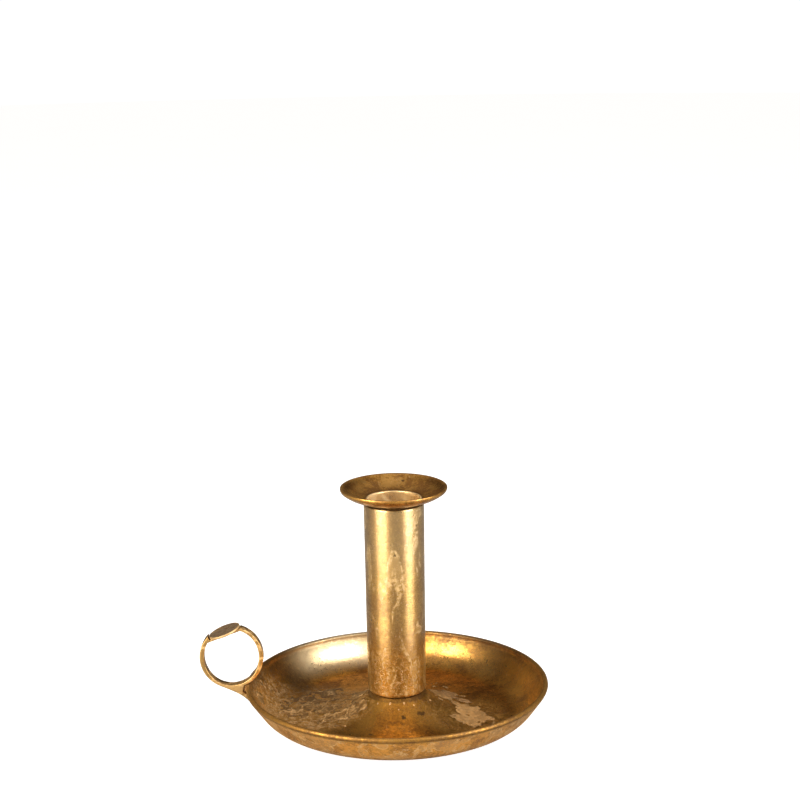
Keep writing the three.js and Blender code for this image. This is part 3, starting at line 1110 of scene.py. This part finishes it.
    def make(self):
        look = self.look
        colour = self.metal_colour()
        for add in (self.add_film, self.add_crust, self.add_wear, self.add_dirt):
            colour = add(colour)
        uneven = self.minus(self.mottle, 0.5)
        roughness = self.weighted(look.rough, [
            (self.tarnished, 0.10), (self.film, 0.10), (uneven, 0.16), (self.dirt_and_shade, 0.2),
        ])
        relief = self.weighted(0.0, [
            (self.mottle, 0.030), (self.grain, 0.012), (self.broad, 0.05), (self.film, 0.012),
            (self.marks, -0.008), (self.hair, 0.012), (self.wrinkle, 0.06), (self.pits, -0.05),
        ])
        hidden = self.most(
            self.times(self.wrinkle, 0.9),
            self.times(self.film, look.film_dull),
            self.times(self.outline, 0.6),
            self.times(self.dirt_and_shade, 0.3),
        )
        coat = self.times(self.dirt_and_shade, -0.8 * look.lacquer, look.lacquer)
        lacquer = {"Coat Weight": coat, "Coat Roughness": 0.26, "Coat IOR": look.gloss}
        self.plug(self.shader.inputs, lacquer)
        return self.finish(colour, roughness, self.minus(1.0, hidden), relief)


def aged_brass(name, seed, **look):
    return AgedBrass(name, seed, Look(**look)).make()


def pan_brass():
    return aged_brass(
        "pan_brass", 1.0, tarnish=0.58, contrast=0.16, patch=12.0, film=0.5, film_size=9.0,
        film_dull=0.5, stains=0.6, pits=0.5, rough=0.30, lacquer=0.25,
        bare=(0.82, 0.44, 0.07, 1), old=(0.55, 0.27, 0.03, 1), brown=(0.30, 0.125, 0.01, 1),
        blots=((on_pan(3.2, -20.0), 1.9), (on_pan(10.5, -16.5), 2.8), (on_pan(-12.0, -30.0), 1.6)),
    )


def tube_brass():
    return aged_brass(
        "tube_brass", 2.0, tarnish=0.66, contrast=0.30, patch=10.0, film=0.27, film_way=(1, 1, 2.6),
        film_dull=0.18, film_colour=(0.62, 0.41, 0.14, 1), stains=0.0, pits=0.1, lathe=1.0,
        rough=0.30, lacquer=1.0, gloss=2.2, bare=(0.72, 0.43, 0.08, 1), old=(0.52, 0.29, 0.045, 1),
        blots=(((0.0, -13.7, 81.0), 0.8),),
    )


def socket_brass():
    return aged_brass(
        "socket_brass", 5.0, tarnish=0.2, film_dull=0.6, film_colour=(0.80, 0.64, 0.42, 1),
        stains=0.6, rough=0.48, bare=WORN_GOLD,
    )


def dish_brass():
    return aged_brass(
        "dish_brass", 6.0, tarnish=0.76, patch=8.0, film=0.05, film_dull=0.6,
        film_colour=(0.44, 0.25, 0.10, 1), stains=0.5, pits=0.6, rough=0.36,
        blots=(((4.5, 19.5, 107.2), 1.0), ((18.0, 12.0, 107.8), 0.7)),
    )


def handle_brass():
    return aged_brass(
        "handle_brass", 7.0, tarnish=0.5, patch=6.0, film=0.4, rough=0.40, side=STRAP_WIDTH / 2 - 0.5,
        bare=(0.58, 0.35, 0.10, 1), old=(0.40, 0.23, 0.06, 1),
    )


def braze_brass():
    return aged_brass("fillet_braze", 7.5, tarnish=0.9, patch=2.0, film=0.5, stains=1.0, rough=0.55)


def thumb_brass():
    return aged_brass(
        "thumb_brass", 8.0, tarnish=0.5, patch=3.0, film=0.7, film_colour=(0.24, 0.18, 0.14, 1),
        rough=0.5, bare=(0.52, 0.38, 0.22, 1), old=(0.40, 0.28, 0.16, 1),
    )


# ---- wax and the stage's materials


def wax(name, seed, colour, ridged=0.3):
    """Old candle wax, dusty and uneven, pale on its ridges, partly as a painted highlight, and dark along
    its brink.
    """
    paint = Paint(name)
    cloud = paint.noise(4.0, 5.0, 0.6, 0.5, seed)
    grain = paint.noise(0.6, 4.0, 0.6, 0.0, seed + 1)
    lighter = tuple(min(part * 1.4, 1.0) for part in colour[:3]) + (1,)
    shade = paint.mix(paint.step(cloud, 0.35, 0.65), colour, lighter)
    shade = paint.mix(paint.step(grain, 0.5, 0.75, 0.0, 0.45), shade, BROWN)
    ridge = paint.times(paint.value("ridge"), paint.step(cloud, 0.25, 0.55, 0.3, 1.0))
    # Partly painted highlight: the ridges paler.
    shade = paint.cover(shade, ridge, ridged, WAX_RIDGE_AND_HIGHLIGHT)
    shade = paint.cover(shade, paint.value("brink"), 0.45, DARK)
    roughness = paint.times(cloud, 0.25, 0.30)
    relief = paint.times(grain, 0.03, paint.times(cloud, 0.08))
    paint.plug(paint.shader.inputs, {"Coat Weight": 0.25, "Coat Roughness": 0.25})
    return paint.finish(shade, roughness, 0.0, relief)


FLOOR_GLOW = 0.9


def pale_floor():
    """Pale card. It shows white to the camera, as the room's backdrop does."""
    paint = Paint("pale_floor")
    cloud = paint.noise(120.0, 3.0, 0.5, 0.0, 2.0)
    colour = paint.mix(cloud, (0.46, 0.46, 0.46, 1), (0.50, 0.50, 0.50, 1))
    relief = paint.times(paint.noise(3.0, 3.0, 0.55), 0.02)
    glow = paint.times(paint.node("LightPath", {})["Is Camera Ray"], FLOOR_GLOW)
    paint.plug(paint.shader.inputs, {"Emission Color": (1, 1, 1, 1), "Emission Strength": glow})
    return paint.finish(colour, 0.14, 0.0, relief)


def give(obj, material):
    obj.data.materials.clear()
    obj.data.materials.append(material)


# ---- floor, light, camera; in metres

LEFT_GLOW = 8.4
LEFT_TINT = (1.0, 0.93, 0.80)
RIGHT_GLOW = 8.6
RIGHT_TINT = (1.0, 0.98, 0.95)
OVERHEAD_GLOW = 0.5
OVERHEAD_TINT = (0.93, 0.92, 1.0)
BACKDROP_GLOW = 1.05
ROOM_BELOW = (0.13, 0.105, 0.075, 1)
ROOM_AT_EYE = (0.05, 0.043, 0.034, 1)
ROOM_ABOVE = (0.30, 0.29, 0.32, 1)
VIEW_GAMMA = 0.82

CAMERA_PLACE = (0.01042, -0.860, 0.3468)
CAMERA_PITCH = -12.90
CAMERA_YAW = -0.24
CAMERA_ROLL = -0.96
CAMERA_LENS = 88.43
CAMERA_SENSOR = 36.0


def stage_object(name, data):
    """Puts a light or a mesh in the scene."""
    obj = linked(name, data)
    return obj


def soft_box(name, bearing, low, high, width, radiance, tint):
    """A tall soft light. Bearing is in degrees from the camera's side, + to the right."""
    distance = 1.1
    angle = radians(bearing)
    across = Vector((sin(angle), -cos(angle), 0))
    light = bpy.data.lights.new(name, "AREA")
    light.shape = "RECTANGLE"
    light.size = width
    light.size_y = high - low
    light.color = tint
    light.energy = radiance * pi * width * (high - low)
    lamp = stage_object(name, light)
    lamp.location = across * distance + Vector((AXIS_X * MM, 0, (low + high) / 2))
    lamp.rotation_euler = (-across).to_track_quat("-Z", "Y").to_euler()


def overhead_box():
    radius = 0.45
    light = bpy.data.lights.new("overhead", "AREA")
    light.shape = "DISK"
    light.size = 2 * radius
    light.color = OVERHEAD_TINT
    light.energy = OVERHEAD_GLOW * pi * pi * radius**2
    lamp = stage_object("overhead", light)
    lamp.location = (0.0, 0.05, 1.5)


def studio_world():
    """White to the camera; to the brass a dim room that is darkest a little below eye level."""
    world = bpy.data.worlds.new("studio")
    bpy.context.scene.world = world
    tree = Tree(world)
    tree.nodes.clear()
    place = tree.node("TexCoord", {})["Generated"]
    ramp = tree.nodes.new("ShaderNodeValToRGB")
    tree.plug(ramp.inputs, {0: tree.node("SeparateXYZ", {0: place})["Z"]})
    lowest, highest = ramp.color_ramp.elements
    lowest.color = ROOM_BELOW
    highest.position = 0.95
    highest.color = ROOM_ABOVE
    middle = ramp.color_ramp.elements.new(0.38)
    middle.color = ROOM_AT_EYE
    room = tree.node("Background", {"Color": ramp.outputs["Color"]})[0]
    white = {"Color": (1, 1, 1, 1), "Strength": BACKDROP_GLOW}
    backdrop = tree.node("Background", white)[0]
    seen = tree.node("LightPath", {})["Is Camera Ray"]
    choice = tree.node("MixShader", {0: seen, 1: room, 2: backdrop})[0]
    tree.node("OutputWorld", {"Surface": choice})


def make_floor():
    """A round floor, just below the pan's foot so that the two faces don't lie in one plane."""
    radius, sides = 4.0, 96
    mesh = bpy.data.meshes.new("floor")
    rim = [(*on_circle(0, 0, radius, 360 * i / sides), 0) for i in range(sides)]
    mesh.from_pydata(rim, [], [tuple(range(sides))])
    floor = stage_object("floor", mesh)
    floor.location.z = -0.05 * MM
    give(floor, pale_floor())


def make_camera():
    camera = bpy.data.cameras.new("camera")
    camera.lens = CAMERA_LENS
    camera.sensor_width = CAMERA_SENSOR
    eye = linked("camera", camera)
    aim = Euler((radians(90 + CAMERA_PITCH), 0, radians(CAMERA_YAW)), "XYZ").to_matrix()
    roll = Matrix.Rotation(radians(CAMERA_ROLL), 3, "Z")
    eye.matrix_world = Matrix.Translation(CAMERA_PLACE) @ (aim @ roll).to_4x4()
    bpy.context.scene.camera = eye


# ---- the whole

give(make_pan(), pan_brass())
give(make_stem_tube(), tube_brass())
give(make_stem_plug(), aged_brass("plug_brass", 3.0, tarnish=0.8, rough=0.5))
give(make_washer(), aged_brass("washer_brass", 3.5, tarnish=0.75, rough=0.48))
give(make_tie_screw(), aged_brass("screw_brass", 4.0, tarnish=0.7, rough=0.45))
give(make_candle_socket(), socket_brass())
give(make_drip_dish(), dish_brass())
give(make_handle_strap(), handle_brass())
give(make_thumb_rest(), thumb_brass())
old_braze = braze_brass()
give(make_crotch_fillet(), old_braze)
give(make_tail_braze(), old_braze)

wax_left = wax_sheet(
    "wax_residue", centre=(-37.0, 5.0), half=(27.0, 23.0), turn=0,
    thickness=0.20, seed=71, crackle=0.38, cut=0.42,
)
wax_right = wax_sheet(
    "wax_film", centre=(31.0, -6.0), half=(34.0, 8.0), turn=-66,
    thickness=0.25, seed=83, crackle=0.10, cut=0.24,
)
wax_foot = wax_sheet(
    "wax_at_stem", centre=(22.0, 14.0), half=(12.0, 9.0), turn=-40,
    thickness=0.25, seed=97, crackle=0.10, cut=0.10,
)
give(wax_left, wax("wax_residue", 9.0, (0.17, 0.10, 0.035, 1), 0.9))
give(wax_right, wax("wax_film", 10.0, (0.34, 0.21, 0.09, 1), 0.35))
give(wax_foot, wax("wax_at_stem", 12.0, (0.27, 0.165, 0.08, 1), 0.6))
give(make_wax_drops(), wax("wax_drops", 11.0, (0.42, 0.27, 0.13, 1)))

make_floor()
soft_box("left_box", -48, 0.02, 1.45, 0.76, LEFT_GLOW, LEFT_TINT)
soft_box("right_box", 57, 0.02, 1.70, 0.60, RIGHT_GLOW, RIGHT_TINT)
overhead_box()
studio_world()
make_camera()
bpy.context.scene.view_settings.view_transform = "Standard"
bpy.context.scene.view_settings.gamma = VIEW_GAMMA
